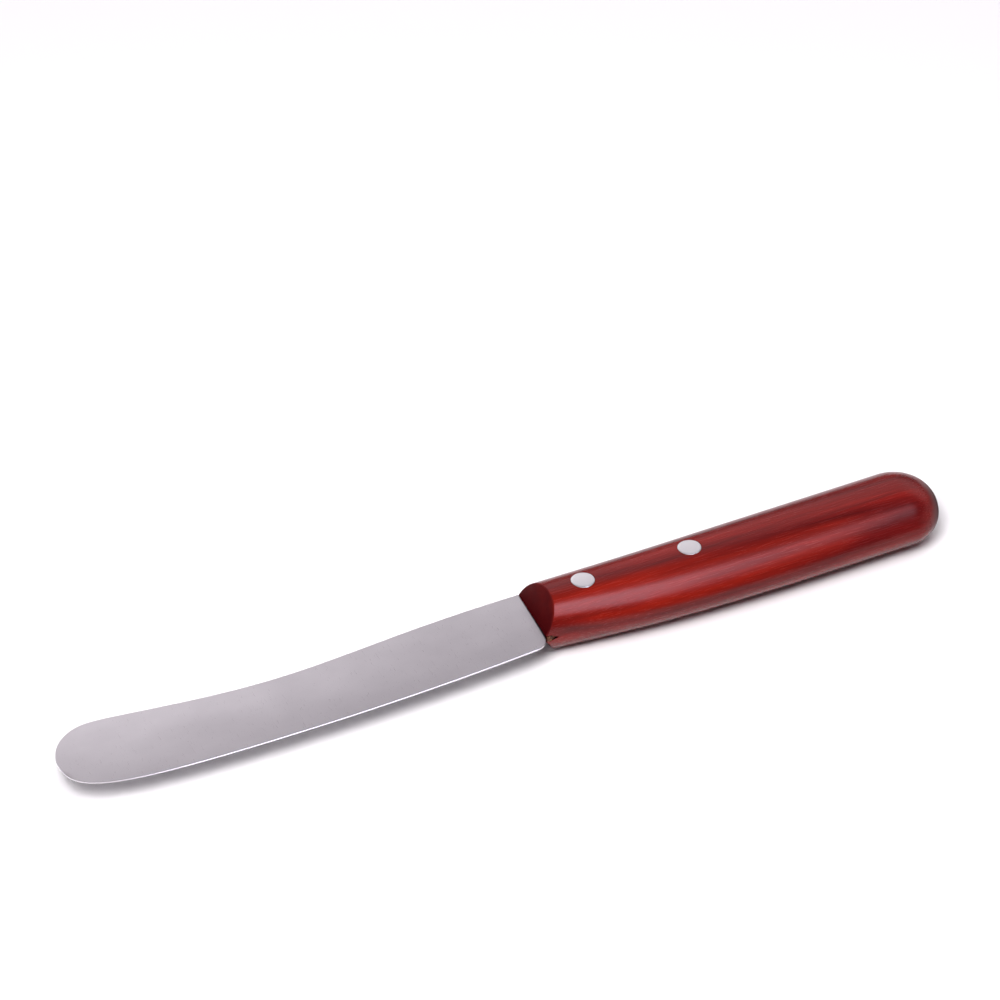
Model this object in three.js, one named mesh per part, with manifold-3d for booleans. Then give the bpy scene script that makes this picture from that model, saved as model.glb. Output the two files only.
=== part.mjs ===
// Breakfast knife: a round-tipped blade with a flat tang, let into a saw slot in the back of a
// one-piece wooden handle and held by two two-part rivets. It lies on its side, as on a table,
// so the handle's side rests on z = 0 and the blade is clear of it.
// Millimetres. The pieces are drawn in the knife's own axes: x runs from the tip to the butt,
// y from the cutting edge to the back with 0 on the rivets' line, z up from the blade's middle.

import * as THREE from 'three';
import { mergeVertices } from 'three/addons/utils/BufferGeometryUtils.js';
import Module from 'manifold-3d';

const wasm = await Module();
wasm.setup();

const { degToRad, lerp, smoothstep } = THREE.MathUtils;

// Blade outline
const BLADE_LENGTH = 117;       // tip to the handle's front, on the rivets' line
const TIP_DROP = 1;             // how far the foremost point of the tip lies below the rivets' line
const CREST_X = 11.5;           // tip to the highest point of the round tip's back
const CREST_BACK = 10.1;        // rivets' line to the back at that crest
const WAIST_X = 56;             // tip to the hollow in the back
const WAIST_BACK = 5.75;        // rivets' line to the back at the hollow
const HEEL_BACK = 8.6;          // rivets' line to the back at the handle, blade and wood alike
const BELLY_X = 53;             // tip to the deepest point of the cutting edge
const BELLY_EDGE = 13.25;       // rivets' line to the edge there
const HEEL_EDGE = 10.65;        // rivets' line to the edge where the heel's corner starts
const HEEL_RADIUS = 3;          // round corner between the edge and the heel
const CREST_EASE = 0.15;        // how long the back stays level at the crest, as a share of its run
const WAIST_EASE = 0.42;        // the same at the hollow, towards the tip
const WAIST_HEEL_EASE = 0.3;    // the same at the hollow, towards the heel
const HEEL_EASE = 0.5;          // the same at the heel
const EDGE_EASE = 0.82;         // fullness of the edge's sweep into the round tip

// Blade section
const HEEL_THICKNESS = 1.3;     // at the handle, along the back
const TIP_THICKNESS = 0.8;      // at the tip, along the back
const EDGE_THINNING = 0.5;      // thickness ground away between the back and the edge
const EDGE_BEVEL = 0.6;         // width of the sharpened strip
const EDGE_LAND = 0.15;         // thickness left at the very edge
const BACK_CHAMFER = 0.12;      // depth of the broken corners everywhere else

// Handle
const HANDLE_LENGTH = 104;
const HANDLE_HALF = 7;          // half the handle's thickness, the same all along
const FRONT_SLANT = 3.5;        // degrees that the front leans back towards the knife's back
const FRONT_BEVEL = 31;         // degrees that each front face leans back from upright
const SWELL_X = 26;             // handle's front to the section where the belly has swollen
const FULL_X = 52;              // handle's front to the fullest section
const FRONT_BELLY = 8.05;       // rivets' line to the belly: at the front
const SWELL_BELLY = 11.3;       // at the swelling
const FULL_BELLY = 12.3;        // at the fullest section
const REAR_BELLY = 11.7;        // where the butt's dome starts
const SWELL_BACK = 8.6;         // rivets' line to the handle's back, at the same sections
const FULL_BACK = 9.2;
const REAR_BACK = 10.2;
const DOME_LENGTH = 10.2;       // rounding of the butt
const DOME_RISE = 0.6;          // how far the butt's end lies above the rivets' line
const BACK_ROUNDNESS = 2;       // section exponents: 2 is an ellipse, more is squarer
const BELLY_ROUNDNESS = 2.3;

// Saw slot and tang
const SLOT_RUNOUT = 2.7;        // length of the slit that the saw leaves in the belly
const SLOT_SLOPE = 4;           // degrees that the slot's floor climbs towards the rear
const SLOT_STRAIGHT = 46;       // handle's front to where the saw lifts out
const SAW_RADIUS = 22;
const SLOT_CLEARANCE = 0.06;    // on each side of the tang's thickest place
const FLOOR_CLEARANCE = 0.9;    // slot's floor to the tang's lower side
const END_CLEARANCE = 0.3;      // slot's rear end to the tang's rear end
const TANG_FLUSH = 0.15;        // the tang's back lies this far below the handle's back
const FILLER_LENGTH = 2.0;      // wood filler in the slit, from the handle's front
const FILLER_CLEARANCE = 0.1;
const FILLER_PROUD = 0.12;      // the filler stands this far out of the belly

// Rivets
const FRONT_RIVET_X = 12.7;     // handle's front to the first rivet
const RIVET_PITCH = 27.3;       // first rivet to the second
const PIN_RADIUS = 1.3;
const SLEEVE_WALL = 0.65;       // wall of the sleeve round the pin
const HEAD_LIP = 0.75;          // how far each head stands out past the sleeve
const HEAD_DEPTH = 1.8;         // from the handle's face to the shoulder
const RIVET_CLEARANCE = 0.06;   // round each rivet in the wood and the tang
const PIN_CLEARANCE = 0.05;     // pin in sleeve
const SHOULDER_CLEARANCE = 0.1; // along the rivet, at each shoulder and end

// How finely curves are divided
const OUTLINE_STEPS = 16;
const TANG_STEPS = 8;
const SECTION_SIDES = 48;
const HANDLE_RINGS = 16;
const DOME_RINGS = 8;
const RIVET_SIDES = 32;
const MERGE_DISTANCE = 1e-4;
const BEYOND = 30;              // how far cutting shapes reach past what they cut

const STEEL = new THREE.MeshStandardMaterial({ color: 0xbfbcc2, metalness: 1, roughness: 0.38 });
const WOOD = new THREE.MeshStandardMaterial({ color: 0x7e2a24, metalness: 0, roughness: 0.42 });
const ALUMINIUM = new THREE.MeshStandardMaterial({ color: 0xd8d6da, metalness: 1, roughness: 0.35 });
const FILLER = new THREE.MeshStandardMaterial({ color: 0x6e3f22, metalness: 0, roughness: 0.85 });

// A closed geometry as a solid that can be cut and joined
function solid(geometry) {
  const bare = new THREE.BufferGeometry();
  bare.setAttribute('position', geometry.getAttribute('position'));
  bare.setIndex(geometry.getIndex());
  const merged = mergeVertices(bare, MERGE_DISTANCE);
  const corners = merged.getIndex().array;
  const triangles = [];
  for (let i = 0; i < corners.length; i += 3) {
    const [a, b, c] = corners.slice(i, i + 3);
    if (a !== b && b !== c && c !== a) triangles.push(a, b, c);
  }
  return new wasm.Manifold(new wasm.Mesh({
    numProp: 3,
    vertProperties: Float32Array.from(merged.getAttribute('position').array),
    triVerts: Uint32Array.from(triangles),
  }));
}

// A finished solid as a named mesh
function piece(name, body, material) {
  const { vertProperties, triVerts } = body.getMesh();
  const geometry = new THREE.BufferGeometry();
  geometry.setAttribute('position', new THREE.BufferAttribute(vertProperties, 3));
  geometry.setIndex(new THREE.BufferAttribute(triVerts, 1));
  geometry.computeVertexNormals();
  const mesh = new THREE.Mesh(geometry, material);
  mesh.name = name;
  return mesh;
}

// Moves every point of a geometry to where place(point) puts it
function reshape(geometry, place) {
  const points = geometry.getAttribute('position');
  const point = new THREE.Vector3();
  for (let i = 0; i < points.count; i += 1) {
    place(point.fromBufferAttribute(points, i));
    points.setXYZ(i, point.x, point.y, point.z);
  }
  return geometry;
}

// The handle's side lines: smooth curves through its front, swelling, fullest and rear sections
const domeStart = HANDLE_LENGTH - DOME_LENGTH;

function sideLine(front, swell, full, rear) {
  const curve = new THREE.CubicInterpolant([0, SWELL_X, FULL_X, domeStart], [front, swell, full, rear], 1);
  return (x) => curve.evaluate(Math.min(Math.max(x, 0), domeStart))[0];
}

const backAt = sideLine(HEEL_BACK, SWELL_BACK, FULL_BACK, REAR_BACK);
const bellyAt = sideLine(FRONT_BELLY, SWELL_BELLY, FULL_BELLY, REAR_BELLY);

// The handle's front line, which leans back towards the knife's back
function frontAt(y) {
  return BLADE_LENGTH + y * Math.tan(degToRad(FRONT_SLANT));
}

// Slot floor: it leaves the belly at the end of the slit and climbs to the rear
const slotSlope = degToRad(SLOT_SLOPE);

function slotFloor(x) {
  return -bellyAt(SLOT_RUNOUT) + (x - SLOT_RUNOUT) * Math.tan(slotSlope);
}

const sawCentre = new THREE.Vector2(
  SLOT_STRAIGHT - SAW_RADIUS * Math.sin(slotSlope),
  slotFloor(SLOT_STRAIGHT) + SAW_RADIUS * Math.cos(slotSlope),
);

// Tang: it follows the slot's floor and rear end, and stops just under the handle's back
const tangRadius = SAW_RADIUS - FLOOR_CLEARANCE;
const tangCentre = sawCentre.clone();
tangCentre.x += FLOOR_CLEARANCE - END_CLEARANCE;
const floorLift = FLOOR_CLEARANCE / Math.cos(slotSlope);

function tangBack(x) {
  return backAt(x) - TANG_FLUSH;
}

function tangEndAngle() {
  let angle = 0;
  for (let i = 0; i < TANG_STEPS; i += 1) {
    const x = tangCentre.x + tangRadius * Math.cos(angle);
    angle = Math.asin((tangBack(x) - tangCentre.y) / tangRadius);
  }
  return angle;
}

// A drawn outline as plain points, without the doubles where one curve meets the next
function pointsOf(outline) {
  const points = outline.getPoints(OUTLINE_STEPS);
  return points.filter((point, i) => point.distanceTo(points.at(i - 1)) > MERGE_DISTANCE);
}

// The blade's outline with its tang, walked from the heel's back round the tip to the tang
function bladeOutline() {
  const outline = new THREE.Shape();
  const heelX = frontAt(HEEL_RADIUS - HEEL_EDGE);
  const heelRun = heelX - HEEL_RADIUS;
  const backRun = BLADE_LENGTH - WAIST_X;
  const tipRun = WAIST_X - CREST_X;
  const tipDepth = BELLY_EDGE - TIP_DROP;
  outline.moveTo(BLADE_LENGTH, HEEL_BACK);
  outline.bezierCurveTo(
    BLADE_LENGTH - HEEL_EASE * backRun, HEEL_BACK,
    WAIST_X + WAIST_HEEL_EASE * backRun, WAIST_BACK,
    WAIST_X, WAIST_BACK,
  );
  outline.bezierCurveTo(
    WAIST_X - WAIST_EASE * tipRun, WAIST_BACK,
    CREST_X + CREST_EASE * tipRun, CREST_BACK,
    CREST_X, CREST_BACK,
  );
  outline.absellipse(CREST_X, -TIP_DROP, CREST_X, CREST_BACK + TIP_DROP, Math.PI / 2, Math.PI, false);
  outline.bezierCurveTo(
    0, -TIP_DROP - EDGE_EASE * tipDepth,
    BELLY_X - EDGE_EASE * BELLY_X, -BELLY_EDGE,
    BELLY_X, -BELLY_EDGE,
  );
  outline.quadraticCurveTo((BELLY_X + heelRun) / 2, -BELLY_EDGE, heelRun, -HEEL_EDGE);
  outline.absarc(heelRun, HEEL_RADIUS - HEEL_EDGE, HEEL_RADIUS, -Math.PI / 2, 0, false);
  addTang(outline);
  return new THREE.Shape(pointsOf(outline));
}

function addTang(outline) {
  const lowFront = Math.max(slotFloor(0) + floorLift, HEEL_RADIUS - HEEL_EDGE);
  const endAngle = tangEndAngle();
  const endX = tangCentre.x + tangRadius * Math.cos(endAngle);
  outline.lineTo(frontAt(lowFront), lowFront);
  for (let i = 0; i <= TANG_STEPS; i += 1) {
    const angle = lerp(slotSlope - Math.PI / 2, endAngle, i / TANG_STEPS);
    const x = tangCentre.x + tangRadius * Math.cos(angle);
    outline.lineTo(BLADE_LENGTH + x, tangCentre.y + tangRadius * Math.sin(angle));
  }
  for (let i = 1; i < TANG_STEPS; i += 1) {
    const x = lerp(endX, 0, i / TANG_STEPS);
    outline.lineTo(BLADE_LENGTH + x, tangBack(x));
  }
}

// Half the blade's thickness: flat sides that taper from heel to tip and from back to edge
function bladeHalf(x, y) {
  const along = lerp(TIP_THICKNESS, HEEL_THICKNESS, x / BLADE_LENGTH);
  const across = EDGE_THINNING * (HEEL_BACK - y) / (HEEL_BACK + BELLY_EDGE);
  return (along - across) / 2;
}

// The outline's rim: sharpened along the edge, with only its corners broken elsewhere
function rimHalf(x, y) {
  const towardsEdge = 1 - smoothstep(y, -HEEL_EDGE, -TIP_DROP);
  const beforeHeel = 1 - smoothstep(x, BLADE_LENGTH - HEEL_RADIUS, BLADE_LENGTH);
  return lerp(bladeHalf(x, y) - BACK_CHAMFER, EDGE_LAND / 2, towardsEdge * beforeHeel);
}

function bladeBlank() {
  const [lowFace, lowRim, highRim, highFace] = [-1, 0, 1, 2];
  const geometry = new THREE.ExtrudeGeometry(bladeOutline(), {
    depth: highRim - lowRim,
    bevelThickness: lowRim - lowFace,
    bevelSize: EDGE_BEVEL,
    bevelOffset: -EDGE_BEVEL,
    bevelSegments: 1,
    curveSegments: OUTLINE_STEPS,
  });
  return reshape(geometry, (point) => {
    const level = Math.round(point.z);
    const onFace = level === lowFace || level === highFace;
    const half = onFace ? bladeHalf(point.x, point.y) : rimHalf(point.x, point.y);
    point.z = level === highRim || level === highFace ? half : -half;
  });
}

const tangEndX = tangCentre.x + tangRadius * Math.cos(tangEndAngle());
const slotHalf = bladeHalf(BLADE_LENGTH + tangEndX, tangBack(tangEndX)) + SLOT_CLEARANCE;

// A turned blank, one unit in radius, whose rings are drawn out to the handle's sections
function handleBlank() {
  const profile = [new THREE.Vector2(0, -BEYOND)];
  profile.push(new THREE.Vector2(1, -BEYOND));
  for (let i = 0; i <= HANDLE_RINGS; i += 1) {
    profile.push(new THREE.Vector2(1, domeStart * i / HANDLE_RINGS));
  }
  for (let i = 1; i <= DOME_RINGS; i += 1) {
    const turn = Math.PI / 2 * i / DOME_RINGS;
    profile.push(new THREE.Vector2(Math.cos(turn), domeStart + DOME_LENGTH * Math.sin(turn)));
  }
  profile[profile.length - 1].x = 0;
  const geometry = new THREE.LatheGeometry(profile, SECTION_SIDES);
  return reshape(geometry, (point) => {
    const ring = Math.hypot(point.x, point.z);
    const turn = Math.atan2(point.x, point.z);
    const across = Math.cos(turn);
    const up = Math.sin(turn);
    const power = across > 0 ? BACK_ROUNDNESS : BELLY_ROUNDNESS;
    const reach = (Math.abs(across) ** power + Math.abs(up) ** power) ** (-1 / power);
    const x = point.y;
    const side = across > 0 ? backAt(x) : bellyAt(x);
    const y = lerp(DOME_RISE, side * across * reach, ring);
    point.set(BLADE_LENGTH + x, y, HANDLE_HALF * up * reach * ring);
  });
}

// Everything in front of the two slanted front faces
function frontCut() {
  const lean = Math.tan(degToRad(FRONT_BEVEL));
  const tip = -slotHalf * lean;
  const wedge = new THREE.Shape([
    new THREE.Vector2(tip, 0),
    new THREE.Vector2(tip + BEYOND * lean, BEYOND),
    new THREE.Vector2(-2 * BEYOND, BEYOND),
    new THREE.Vector2(-2 * BEYOND, -BEYOND),
    new THREE.Vector2(tip + BEYOND * lean, -BEYOND),
  ]);
  const geometry = new THREE.ExtrudeGeometry(wedge, { depth: 2 * BEYOND, bevelEnabled: false });
  geometry.translate(0, 0, -BEYOND);
  geometry.rotateX(Math.PI / 2);
  geometry.rotateZ(-degToRad(FRONT_SLANT));
  geometry.translate(BLADE_LENGTH, 0, 0);
  return geometry;
}

// The saw's cut, open at the front and at the handle's back
function sawCut() {
  const cut = new THREE.Shape();
  cut.moveTo(-BEYOND, slotFloor(-BEYOND));
  cut.lineTo(SLOT_STRAIGHT, slotFloor(SLOT_STRAIGHT));
  cut.absarc(sawCentre.x, sawCentre.y, SAW_RADIUS, slotSlope - Math.PI / 2, 0, false);
  cut.lineTo(sawCentre.x + SAW_RADIUS, BEYOND);
  cut.lineTo(-BEYOND, BEYOND);
  const geometry = new THREE.ExtrudeGeometry(cut, {
    depth: 2 * slotHalf,
    bevelEnabled: false,
    curveSegments: OUTLINE_STEPS,
  });
  return geometry.translate(BLADE_LENGTH, 0, -slotHalf);
}

// A shape turned about the rivet's upright axis, from (radius, height) points
function turned(points) {
  const profile = points.map(([radius, height]) => new THREE.Vector2(radius, height));
  return new THREE.LatheGeometry(profile, RIVET_SIDES).rotateX(Math.PI / 2);
}

// Rivets: a sleeve pressed in from above and a pin from below, both ground flush with the wood
const rivets = { front: FRONT_RIVET_X, rear: FRONT_RIVET_X + RIVET_PITCH };
const boreRadius = PIN_RADIUS + PIN_CLEARANCE;
const sleeveRadius = boreRadius + SLEEVE_WALL;
const headRadius = sleeveRadius + HEAD_LIP;
const shoulder = HANDLE_HALF - HEAD_DEPTH;

function sleeveShape() {
  const foot = -shoulder + SHOULDER_CLEARANCE;
  return turned([
    [0, shoulder],
    [boreRadius, shoulder],
    [boreRadius, foot],
    [sleeveRadius, foot],
    [sleeveRadius, shoulder],
    [headRadius, shoulder],
    [headRadius, BEYOND],
    [0, BEYOND],
  ]);
}

function pinShape() {
  return turned([
    [0, -BEYOND],
    [headRadius, -BEYOND],
    [headRadius, -shoulder],
    [PIN_RADIUS, -shoulder],
    [PIN_RADIUS, shoulder - SHOULDER_CLEARANCE],
    [0, shoulder - SHOULDER_CLEARANCE],
  ]);
}

function rivetHole() {
  const seat = shoulder - SHOULDER_CLEARANCE;
  const head = headRadius + RIVET_CLEARANCE;
  const shank = sleeveRadius + RIVET_CLEARANCE;
  return turned([
    [0, -BEYOND],
    [head, -BEYOND],
    [head, -seat],
    [shank, -seat],
    [shank, seat],
    [head, seat],
    [head, BEYOND],
    [0, BEYOND],
  ]);
}

function atRivet(geometry, x) {
  return solid(geometry.translate(BLADE_LENGTH + x, 0, 0));
}

// Wood filler: it closes the front of the slit, between the tang and the belly
function fillerShape() {
  const roof = (x) => slotFloor(x) + floorLift - FILLER_CLEARANCE;
  const start = frontAt(-FRONT_BELLY) - BLADE_LENGTH + FILLER_CLEARANCE;
  const bead = new THREE.Shape();
  bead.moveTo(start, roof(start));
  bead.lineTo(start, -bellyAt(0) - FILLER_PROUD);
  bead.lineTo(FILLER_LENGTH / 2, -bellyAt(FILLER_LENGTH / 2) - FILLER_PROUD);
  bead.lineTo(FILLER_LENGTH, slotFloor(FILLER_LENGTH) + FILLER_CLEARANCE);
  bead.lineTo(FILLER_LENGTH, roof(FILLER_LENGTH));
  const half = slotHalf - FILLER_CLEARANCE;
  const geometry = new THREE.ExtrudeGeometry(bead, { depth: 2 * half, bevelEnabled: false });
  return geometry.translate(BLADE_LENGTH, 0, -half);
}

// Assembly
const knife = new THREE.Group();
const wholeHandle = solid(handleBlank());
let handleBody = wholeHandle.subtract(solid(frontCut())).subtract(solid(sawCut()));
let bladeBody = solid(bladeBlank());

for (const [place, x] of Object.entries(rivets)) {
  const hole = atRivet(rivetHole(), x);
  handleBody = handleBody.subtract(hole);
  bladeBody = bladeBody.subtract(hole);
  knife.add(piece(`${place}_rivet_sleeve`, atRivet(sleeveShape(), x).intersect(wholeHandle), ALUMINIUM));
  knife.add(piece(`${place}_rivet_pin`, atRivet(pinShape(), x).intersect(wholeHandle), ALUMINIUM));
}

knife.add(piece('blade', bladeBody, STEEL));
knife.add(piece('handle', handleBody, WOOD));
knife.add(piece('slot_filler', solid(fillerShape()), FILLER));

// The origin is on the table, under the middle of the knife's box
const box = new THREE.Box3().setFromObject(knife, true);
const middle = box.getCenter(new THREE.Vector3());
knife.position.set(-middle.x, -middle.y, -box.min.z);

const part = new THREE.Group();
part.add(knife);

export default part;
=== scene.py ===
# %% [markdown]
# # A breakfast knife
# This lesson dresses a imported model of a breakfast knife: a broad, round-tipped steel blade whose
# tang sits in a saw slot in a one-piece wooden handle, held by two flush rivets. The imported model
# is the frame. It fixes every size and place, and each new piece stands for one of its nodes, so
# the frame is loaded first.

# %% Load the frame
import math

import bmesh
import bpy
from mathutils import Matrix, Vector, noise


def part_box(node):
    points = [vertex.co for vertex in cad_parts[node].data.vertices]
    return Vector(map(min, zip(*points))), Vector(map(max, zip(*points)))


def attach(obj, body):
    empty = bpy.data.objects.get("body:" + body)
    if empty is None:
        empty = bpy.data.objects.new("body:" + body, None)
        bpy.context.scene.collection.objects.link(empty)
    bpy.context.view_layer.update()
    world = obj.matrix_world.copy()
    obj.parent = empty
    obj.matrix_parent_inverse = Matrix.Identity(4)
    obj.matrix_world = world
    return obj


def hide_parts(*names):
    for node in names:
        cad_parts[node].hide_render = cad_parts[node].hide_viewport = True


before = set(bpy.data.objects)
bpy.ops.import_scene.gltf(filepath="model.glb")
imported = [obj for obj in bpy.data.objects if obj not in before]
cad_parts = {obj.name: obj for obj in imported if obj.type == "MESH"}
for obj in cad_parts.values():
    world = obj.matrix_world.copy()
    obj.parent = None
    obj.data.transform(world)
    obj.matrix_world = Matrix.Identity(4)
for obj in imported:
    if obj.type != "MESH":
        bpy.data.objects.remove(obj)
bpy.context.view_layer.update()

print("nodes:", sorted(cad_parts))

# %% [markdown]
# ## A bench in millimetres
# Knife makers think in millimetres from the tip, from the rivets' line and from the blade's
# middle, so every piece is modelled there: x from the tip to the butt, y from the edge to the
# back, z up. One matrix, read from the frame's boxes, then carries a finished mesh to its place,
# in metres. That keeps each object at the origin, unturned and unscaled, with its place in its
# mesh.

# %% Bench and frame
MM = 0.001
blade_low, blade_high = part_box("blade")
handle_low, handle_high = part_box("handle")
front_low, front_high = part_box("front_rivet_sleeve")
rear_low, rear_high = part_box("rear_rivet_sleeve")
filler_low, filler_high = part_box("slot_filler")

rivet_line = (front_low.y + front_high.y) / 2
middle = (handle_low.z + handle_high.z) / 2
to_row = Matrix.Translation((blade_low.x, rivet_line, middle)) @ Matrix.Scale(MM, 4)
to_bench = to_row.inverted()

HANDLE_HALF = (handle_high.z - handle_low.z) / 2 / MM
BUTT_X = (to_bench @ handle_high).x
FRONT_RIVET_X = (to_bench @ ((front_low + front_high) / 2)).x
REAR_RIVET_X = (to_bench @ ((rear_low + rear_high) / 2)).x
HEAD_RADIUS = (front_high.x - front_low.x) / 2 / MM
print("butt at", round(BUTT_X, 2), "rivets at", round(FRONT_RIVET_X, 2), round(REAR_RIVET_X, 2))

# %% [markdown]
# ## From bench to knife
# A finished bench mesh becomes a piece in one helper: it is carried to the frame, shaded smooth
# except where two faces meet at a real corner, given its finish, and tied to the body, and the
# frame's node that it stands for is hidden. Doing it in one place means that no piece can be
# forgotten.

# %% Finish a piece
CORNER = math.radians(32)


def lay_on_knife(name, mesh, node, finish, sharp_from=CORNER):
    """A piece of the knife, made from a finished bench mesh."""
    mesh.name = name
    mesh.transform(to_row)
    mesh.shade_smooth()
    mesh.set_sharp_from_angle(angle=sharp_from)
    mesh.materials.clear()
    mesh.materials.append(finish)
    knife_piece = bpy.data.objects.new(name, mesh)
    bpy.context.scene.collection.objects.link(knife_piece)
    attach(knife_piece, "root")
    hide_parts(node)
    print(name, "has", len(mesh.polygons), "faces and stands for", node)
    return knife_piece


def to_mesh(bm, name="bench"):
    """A mesh from a bmesh, with its faces turned outwards."""
    bmesh.ops.recalc_face_normals(bm, faces=bm.faces)
    mesh = bpy.data.meshes.new(name)
    bm.to_mesh(mesh)
    bm.free()
    return mesh


# %% [markdown]
# ## Camera
# The camera stands where the photograph was taken: well above the table, turned a little to the
# tip's side. Its long lens keeps the handle and the tip at nearly the same scale. It looks at a
# point on the table behind the handle, because the knife lies in the lower half of the picture.

# %% Set up the camera
CAMERA_AZIMUTH = math.radians(-25.97)
CAMERA_ELEVATION = math.radians(38.02)
CAMERA_DISTANCE = 1.39983
CAMERA_LENS = 216
SENSOR_WIDTH = 36
CAMERA_REACH = 20
AIM = Vector((129.57, 42.74, 0))

away = Vector((
    math.sin(CAMERA_AZIMUTH) * math.cos(CAMERA_ELEVATION),
    -math.cos(CAMERA_AZIMUTH) * math.cos(CAMERA_ELEVATION),
    math.sin(CAMERA_ELEVATION),
))
camera_data = bpy.data.cameras.new("camera")
camera_data.lens = CAMERA_LENS
camera_data.sensor_width = SENSOR_WIDTH
camera_data.clip_end = CAMERA_REACH
camera = bpy.data.objects.new("camera", camera_data)
camera.location = to_row @ AIM + away * CAMERA_DISTANCE
camera.rotation_euler = away.to_track_quat("Z", "Y").to_euler()
bpy.context.scene.collection.objects.link(camera)
bpy.context.scene.camera = camera
print("camera at", [round(v, 3) for v in camera.location])

# %% [markdown]
# ## Drawing with curves
# The blade and the saw slot are flat shapes with smooth outlines. A closed Bezier curve with a
# handful of knots draws such an outline the way a pattern maker does, and Blender turns it into
# points. A knot is a point with two handles: equal knot and handle give a straight run.

# %% Outline helper
CURVE_STEPS = 24
SAME_POINT = 0.01


def filled_outline(knots):
    """A bmesh with one flat face inside a closed curve of (handle, knot, handle) points."""
    curve = bpy.data.curves.new("outline", "CURVE")
    curve.dimensions = "2D"
    curve.fill_mode = "NONE"
    curve.resolution_u = CURVE_STEPS
    spline = curve.splines.new("BEZIER")
    spline.use_cyclic_u = True
    spline.bezier_points.add(len(knots) - 1)
    for point, knot in zip(spline.bezier_points, knots):
        point.handle_left_type = point.handle_right_type = "FREE"
        point.handle_left, point.co, point.handle_right = [(x, y, 0) for x, y in knot]
    drawing = bpy.data.objects.new("outline", curve)
    bm = bmesh.new()
    bm.from_mesh(drawing.to_mesh())
    bpy.data.objects.remove(drawing)
    bpy.data.curves.remove(curve)
    bmesh.ops.remove_doubles(bm, verts=bm.verts, dist=SAME_POINT)
    bmesh.ops.contextual_create(bm, geom=bm.edges)
    return bm


def corner(x, y):
    """A knot with no handles."""
    return (x, y), (x, y), (x, y)


# %% [markdown]
# ## Shape of the handle
# The handle is one piece of wood. Every section across it is a rounded oval whose back and belly
# lie at different distances from the rivets' line, and both lines swell gently towards the butt.
# A fair line through four stations gives those distances. Two powers round each half of the
# section: a higher one flattens the crown, and a lower one makes the side lean back, so its lower
# half mirrors less of the table.

# %% Handle lines
BLADE_LENGTH = 117.0
HANDLE_LENGTH = BUTT_X - BLADE_LENGTH
DOME_LENGTH = 10.2
DOME_START = HANDLE_LENGTH - DOME_LENGTH
BACK_POWERS = (2.0, 2.0)
BELLY_POWERS = (2.6, 1.75)
STATIONS = (0.0, 26.0, 52.0, DOME_START)
BACK_WIDTHS = (8.6, 8.6, 9.2, 10.2)
BELLY_WIDTHS = (8.05, 11.3, 12.3, 11.7)


def fair_line(stations, widths):
    """A smooth line whose slope at each station is the mean of the slopes beside it."""
    spans = list(zip(stations, stations[1:]))
    slopes = [(b - a) / (q - p) for (p, q), a, b in zip(spans, widths, widths[1:])]
    tangents = [(a + b) / 2 for a, b in zip([slopes[0], *slopes], [*slopes, slopes[-1]])]

    def width_at(x):
        x = min(max(x, stations[0]), stations[-1])
        i = min(sum(x > end for start, end in spans), len(spans) - 1)
        start, end = spans[i]
        run = end - start
        t = (x - start) / run
        return (
            (2 * t**3 - 3 * t**2 + 1) * widths[i]
            + (t**3 - 2 * t**2 + t) * run * tangents[i]
            + (3 * t**2 - 2 * t**3) * widths[i + 1]
            + (t**3 - t**2) * run * tangents[i + 1]
        )

    return width_at


back_line = fair_line(STATIONS, BACK_WIDTHS)
belly_line = fair_line(STATIONS, BELLY_WIDTHS)


def wood_section(x, turn):
    """Where the wood's skin lies, as (y, z), at a station and an angle round from its back."""
    across, up = math.cos(turn), math.sin(turn)
    crown, lean = BACK_POWERS if across > 0 else BELLY_POWERS
    side = back_line(x) if across > 0 else belly_line(x)
    return (
        math.copysign(side * abs(across) ** (2 / crown), across),
        math.copysign(HANDLE_HALF * abs(up) ** (2 / lean), up),
    )


def wood_drop(x, y):
    """How far the wood's upper skin lies below its crown."""
    crown, lean = BACK_POWERS if y > 0 else BELLY_POWERS
    side = back_line(x) if y > 0 else belly_line(x)
    return HANDLE_HALF * (1 - (1 - (abs(y) / side) ** crown) ** (1 / lean))


print("handle is", round(back_line(0) + belly_line(0), 2), "mm wide at the front and",
      round(back_line(DOME_START) + belly_line(DOME_START), 2), "mm at the butt")

# %% [markdown]
# ## The saw slot
# The tang is let into the handle from its back. A circular saw makes the slot: its floor leaves
# the belly just behind the handle's front, climbs slowly, and ends in the saw's own round. The
# same outline later gives the tang its shape, so the two always fit. Saw teeth leave a slightly
# pointed floor, so the slot runs out of the belly as a pointed slit, and they tear the wood a
# little where they come in. A cut down the middle makes the point, and a patch of cuts at the
# front gives the walls points for noise to push about.

# %% Slot outline
FRONT_SLANT = math.tan(math.radians(3.5))
SLOT_RUNOUT = 2.7
SLOT_SLOPE = math.radians(4)
SLOT_STRAIGHT = 46.0
SAW_RADIUS = 22.0


def front_line(y):
    """Where the blade meets the handle's front, from the tip."""
    return BLADE_LENGTH + y * FRONT_SLANT


def slot_floor(x):
    """Where the slot's straight floor lies, from the rivets' line."""
    return -belly_line(SLOT_RUNOUT) + (x - SLOT_RUNOUT) * math.tan(SLOT_SLOPE)


saw_centre = Vector((
    BLADE_LENGTH + SLOT_STRAIGHT - SAW_RADIUS * math.sin(SLOT_SLOPE),
    slot_floor(SLOT_STRAIGHT) + SAW_RADIUS * math.cos(SLOT_SLOPE),
))


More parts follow.
